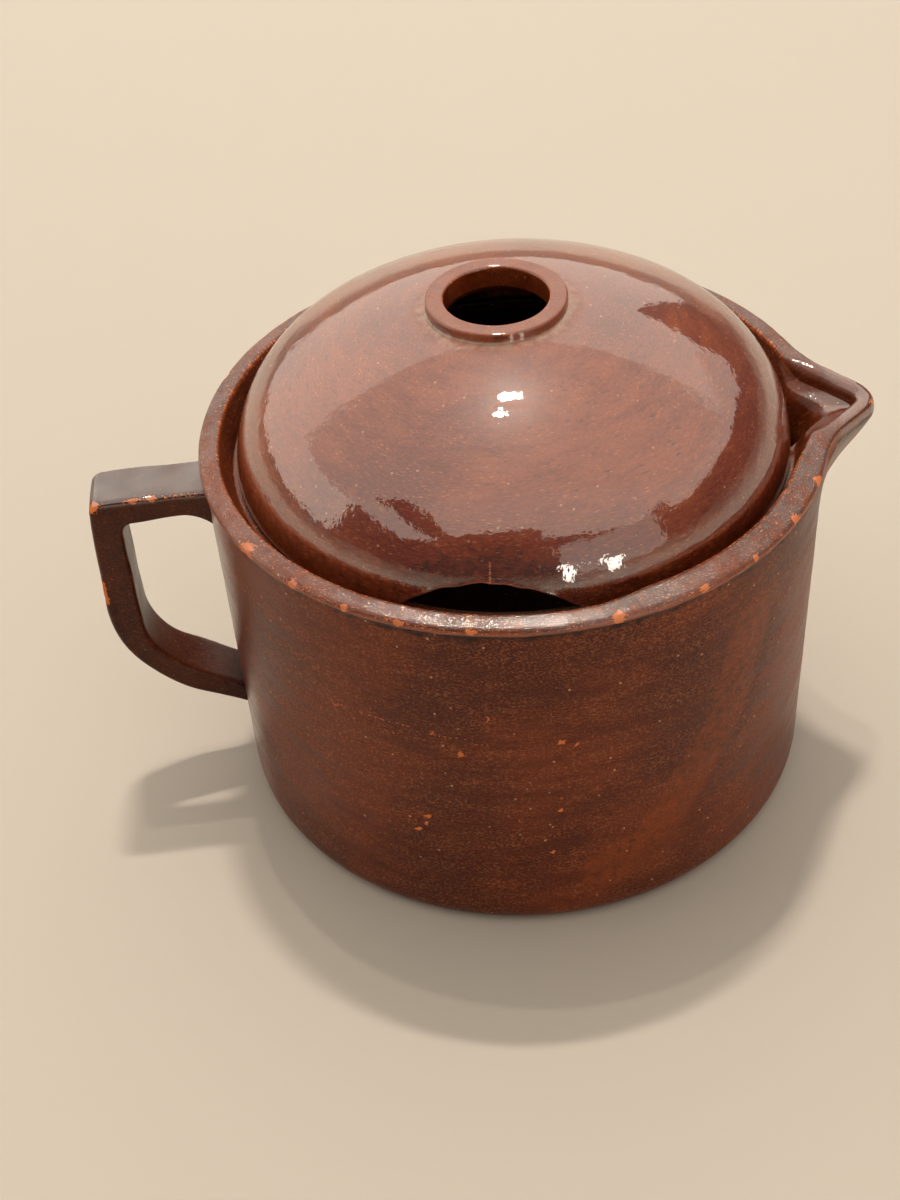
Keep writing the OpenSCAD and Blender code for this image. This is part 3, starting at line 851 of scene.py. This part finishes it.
outer_dome = even(dome_line(0, 30), 62).tolist()[:-1]
inner_dome = even(dome_line(lid_t, 30), 40).tolist()[:-1]
foot = (
    bend((lid_r - foot_round, foot_z + foot_round), foot_round, 0, -90, 6)
    + bend((lid_r - lid_t + foot_round, foot_z + foot_round), foot_round, -90, -180, 6)
)
outer_dome = [p for p in outer_dome if p[1] > foot_z + foot_round]
inner_dome = [p for p in inner_dome if p[1] > foot_z + foot_round]
hole_wall = straight(inner_dome[0], outer_dome[0], 1.2 * MM)[1:]
lid_outline = outer_dome + foot + inner_dome[::-1] + hole_wall
lid_outline.append(lid_outline[0])
# On the lid the glaze is redder, thick and glassy, so that it mirrors the room over its mottling.
lid_glaze = lead_glaze(
    "lid_lead_glaze", deep="#661f0d", warm="#91411b", fleck="#c47444",
    fleck_from=0.5, fleck_share=1.0, grog_share=0.9, painted_glint_share=0.6, smut_share=0.8,
    drag=(0.55, 0.55, 1.8), rough=(0.3, 0.4), peel=0.26 * MM, grit=0.015 * MM,
    ior=1.36, skin_ior=2.5, skin_rough=0.02,
)
lid = throw(
    "domed_lid",
    lid_outline,
    lid_glaze,
    columns=480,
    full_radius=lid_r,
    wobble=0.5 * MM,
    wobble_width=70 * MM,
    ridge=0.12 * MM,
    ridge_width=6 * MM,
    seed=8,
)
places = points_of(lid.data)
collar_low, collar_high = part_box("lid_collar")
hole_centre = (collar_low + collar_high) / 2
crown_to = 70 * MM
follow_to = 60 * MM
follow_fade = 40 * MM
# The middle of the dome is slid along its crown, so that the hole lies off centre.
radii = np.hypot(places[:, 0], places[:, 1])
follow = ease((follow_to - radii) / follow_fade)
dome_before = np.sqrt(crown_r**2 - np.minimum(radii, crown_to) ** 2)
places[:, 0] += hole_centre.x * follow
places[:, 1] += hole_centre.y * follow
radii = np.hypot(places[:, 0], places[:, 1])
places[:, 2] += np.sqrt(crown_r**2 - np.minimum(radii, crown_to) ** 2) - dome_before

# Over the notch the edge is drawn up the shoulder, ragged where it was cut by hand.
notch_way = np.array([math.cos(notch_turn), math.sin(notch_turn)])
beside = places[:, 0] * -notch_way[1] + places[:, 1] * notch_way[0]
facing = places[:, :2] @ notch_way > 0
lift = np.sqrt(np.maximum(notch_r**2 - beside**2, 0)) + notch_h - notch_r
hand_cut = ragged(np.stack([beside, 0 * beside, 0 * beside], axis=1), 6 * MM, seed=17) - 0.5
in_notch = facing & (np.abs(beside) < notch_w / 2)
lift = np.where(in_notch, np.maximum(lift * (1 + 0.12 * hand_cut), 0), 0)
notch_reach = 32 * MM
height = places[:, 2] - foot_z
raised = np.where(height < notch_reach, lift + height * (notch_reach - lift) / notch_reach, height)
dome_before = np.sqrt(np.maximum(shoulder**2 - height**2, 0))
dome_after = np.sqrt(np.maximum(shoulder**2 - raised**2, 0))
scale = 1 + np.where(raised > height, dome_after - dome_before, 0) / np.maximum(radii, 1 * MM)
places[:, :2] *= scale[:, None]
places[:, 2] = foot_z + raised
on_edge = ease(1 - (raised - lift) / (1.6 * MM))
from_hole = np.hypot(places[:, 0] - hole_centre.x, places[:, 1] - hole_centre.y)
dust_to = 28 * MM
dust_above = foot_z + dome_h - 6 * MM
dust = 0.75 * ease((dust_to - from_hole) / (7 * MM)) * (places[:, 2] > dust_above)
dust *= ease((from_hole - hole_r - 0.3 * MM) / (1 * MM))
crack_w = 1.1 * MM
crack_h = 7 * MM
crack = (np.abs(beside) < crack_w / 2) & facing & (raised > notch_h) & (raised < notch_h + crack_h)
# Low on the lid, on the part that sits down in the pot's mouth, the glaze is darkened short of its very
# edge: painted shade there, and glaze pooled towards the foot.
pool = 0.6 * ease((17 * MM - raised + lift) / (11 * MM)) * (1 - on_edge)
seal(lid.data, places, thin=on_edge * 0.7, dust=dust, bare=crack * 0.6, wet=0.9 - 0.6 * dust, pool=pool)
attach(lid, "lid")
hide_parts("lid_dome")

# The collar round the boil-over hole
# A ring of clay luted onto the dome round the hole, flat on top, with glaze rubbed off its upper edges
# and pale dust at its foot. Dark patches on its sides and foot are painted shade on the side face as
# well as glaze pooled there.
collar_r = (collar_high.x - collar_low.x) / 2
collar_z = collar_high.z
collar_round = 0.8 * MM
collar_sink = 1.2 * MM
collar_foot_z = crown_z + math.sqrt(crown_r**2 - collar_r**2)
collar_bore = hole_r - 0.35 * MM
bore_sink = 4.2 * MM
foot_fillet = 0.6 * MM
collar_outline = (
    straight((collar_bore, collar_foot_z - bore_sink), (collar_bore, collar_z - collar_round), 0.6 * MM)
    + bend((collar_bore + collar_round, collar_z - collar_round), collar_round, 180, 90, 7)
    + straight((collar_bore + collar_round, collar_z), (collar_r - collar_round, collar_z), 0.5 * MM)[1:]
    + bend((collar_r - collar_round, collar_z - collar_round), collar_round, 90, 0, 7)
    + bend((collar_r + foot_fillet, collar_foot_z + foot_fillet), foot_fillet, 180, 260, 6)
    + [(collar_r + foot_fillet, collar_foot_z - collar_sink)]
)
collar_outline.append(collar_outline[0])
collar = throw(
    "hole_collar",
    collar_outline,
    lid_glaze,
    columns=240,
    full_radius=collar_r,
    wobble=0.45 * MM,
    wobble_width=18 * MM,
    ridge=0.0,
    ridge_width=6 * MM,
    seed=5,
)
places = points_of(collar.data)
radii = np.hypot(places[:, 0], places[:, 1])
edge = np.minimum(np.abs(radii - collar_r), np.abs(radii - collar_bore))
edge += np.abs(collar_z - places[:, 2])
on_top = ease((places[:, 2] - collar_z + 0.9 * MM) / (0.6 * MM))
thin = np.maximum(ease(1.25 - edge / (1.3 * MM)), 0.6 * on_top)
thin *= 0.5 + ragged(places, 3 * MM, seed=37)
dust = 0.8 * ease(1 - (places[:, 2] - collar_foot_z) / (1.2 * MM)) * (radii > collar_r - 0.5 * MM)
# Dark ragged patches on the side, fainter on top: painted shade on the side face, and glaze pooled
# there.
pool = 0.9 * ease(3 * ragged(places, 3.5 * MM, seed=39) - 1.4) * (1 - 0.8 * on_top)
pool *= radii > collar_bore + 1 * MM
bare = ease(1.2 - edge / (1.0 * MM)) * ease(3.2 * ragged(places, 5 * MM, seed=31) - 1.3) * 0.65
places[:, 0] += hole_centre.x
places[:, 1] += hole_centre.y
collar_wave = 0.5 * MM
places[:, 2] += (ragged(places, 12 * MM, seed=41) - 0.5) * collar_wave
wet = 0.85 - 0.4 * thin - 0.4 * dust
seal(collar.data, places, thin=thin * 0.8, bare=bare, dust=dust, wet=wet, pool=pool)
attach(collar, "lid")
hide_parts("lid_collar")

# The table and the light
# A plain pale table top that rises to a low cove far out, under soft panels on ceiling and walls. The
# glaze mirrors these as a pale veil, open in front. A lamp and a spot throw the shadow, two small
# windows glint, and dim panels that don't reach the pot light the far table.
cove_start = 8.5
cove_run = 3.0
cove_h = 1.1
table_z = -0.2 * MM
table_line = [(r, table_z) for r in (0, 0.5, 1.2, 2.5, 5.0)] + [
    (cove_start + cove_run * math.sin(a), table_z + cove_h * (1 - math.cos(a)))
    for a in np.radians(np.linspace(0, 90, 13))
]
table_paint = bpy.data.materials.new("pale_table")
table_paint.use_nodes = True
table_shader = table_paint.node_tree.nodes["Principled BSDF"]
table_shader.inputs["Base Color"].default_value = linear("#cbc4b9")
table_shader.inputs["Roughness"].default_value = 0.7
table = throw("table_top", table_line, table_paint, columns=96, full_radius=cove_start)
seal(table.data, points_of(table.data))

world = bpy.data.worlds.new("room")
bpy.context.scene.world = world
world.use_nodes = True
room = world.node_tree.nodes["Background"]
room.inputs["Color"].default_value = linear("#f6f1ea")
room.inputs["Strength"].default_value = 0.08

# Each lamp has its place, what it faces, its width, height, radiance and spread in degrees.
open_panel = 180
window_spread = 40
table_spread = 120
for name, place, aim, width, height, radiance, spread in (
    ("ceiling_over", (0, 0.55, 2.2), (0, 0.55, 0), 6.0, 2.1, 0.76, open_panel),
    ("ceiling_back", (0, 2.45, 2.2), (0, 2.45, 0), 6.0, 1.7, 1.2, open_panel),
    ("ceiling_middle", (-0.45, -1.2, 2.2), (-0.45, -1.2, 0), 1.6, 1.4, 0.85, open_panel),
    ("ceiling_right", (1.68, -1.55, 2.2), (1.68, -1.55, 0), 2.65, 2.1, 0.85, open_panel),
    ("ceiling_left", (-2.47, -1.55, 2.2), (-2.47, -1.55, 0), 1.06, 2.1, 0.85, open_panel),
    ("back_wall", (-0.66, 3.3, 1.31), (-0.66, 0, 1.31), 4.68, 1.78, 1.2, open_panel),
    ("back_wall_right", (2.34, 3.3, 2.0), (2.34, 0, 2.0), 1.32, 0.4, 1.2, open_panel),
    ("left_wall", (-3.0, 1.3, 1.33), (0, 1.3, 1.33), 4.0, 1.76, 1.2, open_panel),
    ("right_wall", (3.0, 0.9, 1.85), (0, 0.9, 1.85), 4.8, 0.7, 0.9, open_panel),
    ("front_panel", (1.5, -2.2, 0.95), (0, 0, 0.3), 2.0, 1.4, 0.6, open_panel),
    ("ceiling_lamp", (0.08, 1.24, 4.0), (0, 0, 0.1), 0.32, 0.09, 700, open_panel),
    ("ceiling_spot", (-0.14, 0.86, 4.0), (0, 0, 0.1), 0.09, 0.07, 800, open_panel),
    ("front_window", (0.52, -1.8, 0.29), (0, 0, 0.1), 0.16, 0.5, 8, window_spread),
    ("side_window", (1.0, -1.6, 0.26), (0, 0, 0.1), 0.2, 0.45, 8, window_spread),
    ("ring_left", (-4.1, 0, 1.5), (-4.1, 0, 0), 1.8, 10.0, 0.5, table_spread),
    ("ring_right", (4.1, 0, 1.5), (4.1, 0, 0), 1.8, 10.0, 0.5, table_spread),
    ("ring_back", (0, 4.3, 1.5), (0, 4.3, 0), 6.4, 1.4, 0.5, table_spread),
    ("ring_front", (0, -4.0, 1.5), (0, -4.0, 0), 6.4, 2.0, 0.5, table_spread),
    ("table_left", (-8.1, 0, 2.6), (-8.1, 0, 0), 7.8, 24.0, 1.0, table_spread),
    ("table_right", (8.1, 0, 2.6), (8.1, 0, 0), 7.8, 24.0, 1.0, table_spread),
    ("table_back", (0, 8.1, 2.6), (0, 8.1, 0), 8.4, 7.8, 1.0, table_spread),
    ("table_front", (0, -8.1, 2.6), (0, -8.1, 0), 8.4, 7.8, 1.0, table_spread),
):
    lamp = bpy.data.lights.new(name, "AREA")
    lamp.shape = "RECTANGLE"
    lamp.size = width
    lamp.size_y = height
    half_spread = math.radians(spread / 2)
    lamp.spread = 2 * half_spread
    # A narrowed lamp is brighter straight ahead for the same energy, so it gets less.
    narrowed = 1 - half_spread / math.tan(half_spread)
    lamp.energy = radiance * math.pi * width * height * narrowed
    lamp.color = linear("#fff2e2")[:3]
    panel = bpy.data.objects.new(name, lamp)
    bpy.context.scene.collection.objects.link(panel)
    panel.location = place
    panel.rotation_euler = (Vector(aim) - Vector(place)).to_track_quat("-Z", "Y").to_euler()
    panel.visible_camera = False

# The camera
# Held by hand above the table, looking down at the pot at about forty degrees and tilted a little.
# Its place and lens are fitted to the ellipses of rim, lid and base.
eye = Vector((-24.2, -460.8, 468.0)) * MM
heading = 0.0009
pitch = 0.7294
roll = -0.0764
frame_px = 1200
focal_px = 1780
level = Vector((math.sin(heading), math.cos(heading), 0))
ahead = level * math.cos(pitch) - Vector((0, 0, math.sin(pitch)))
right = Vector((math.cos(heading), -math.sin(heading), 0))
up = right.cross(ahead)
view_x = right * math.cos(roll) + up * math.sin(roll)
view_y = up * math.cos(roll) - right * math.sin(roll)
lens = bpy.data.cameras.new("photo_camera")
lens.sensor_width = 36
lens.lens = lens.sensor_width * focal_px / frame_px
lens.clip_start = 0.01
camera = bpy.data.objects.new("photo_camera", lens)
bpy.context.scene.collection.objects.link(camera)
camera.matrix_world = Matrix(
    [(view_x[i], view_y[i], -ahead[i], eye[i]) for i in range(3)] + [(0, 0, 0, 1)]
)
bpy.context.scene.camera = camera
bpy.context.scene.view_settings.view_transform = "Standard"
